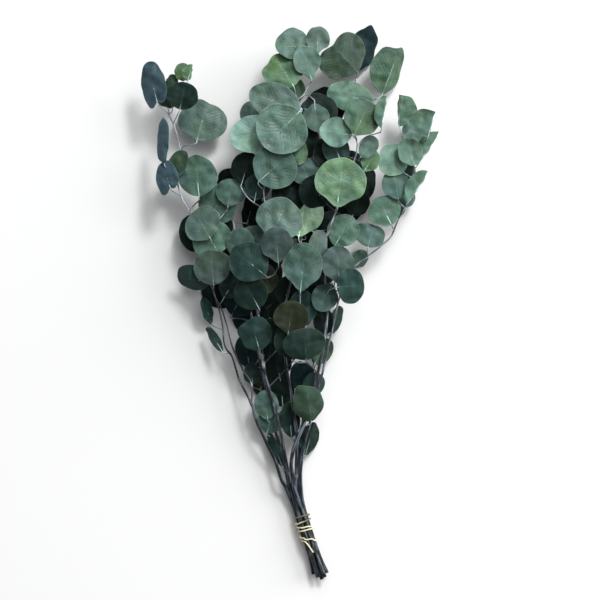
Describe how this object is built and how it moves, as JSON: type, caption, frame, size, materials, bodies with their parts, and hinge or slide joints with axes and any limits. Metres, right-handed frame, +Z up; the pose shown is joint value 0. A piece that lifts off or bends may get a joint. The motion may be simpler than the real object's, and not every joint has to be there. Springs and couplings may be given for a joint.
{
  "type": "tied bunch of eucalyptus branches",
  "caption": "Cut eucalyptus branches with round, wavy, grey-green leaves, held near their cut ends by a rubber band; the bunch lies flat and serves as decorative greenery.",
  "frame": {"origin": "on the surface that the bunch lies on, below the middle of its bounding box", "axes": "+Y along the bunch from the cut stem ends to the leaf tips, +X to the right seen from above, +Z up"},
  "size_m": [0.2993, 0.5634, 0.0826],
  "materials": {
    "leaves_and_bark": "waxy grey-green leaves on smooth brown-grey bark",
    "rubber_band": "matt cream-yellow rubber"
  },
  "bodies": {
    "root": {"leafy_stem_under_left": "leaves_and_bark", "leafy_stem_under_right": "leaves_and_bark", "leafy_stem_left": "leaves_and_bark", "leafy_stem_right": "leaves_and_bark", "leafy_stem_centre": "leaves_and_bark", "leafy_stem_front_left": "leaves_and_bark", "leafy_stem_front_right": "leaves_and_bark", "tie_band": "rubber_band"}
  },
  "joints": []
}
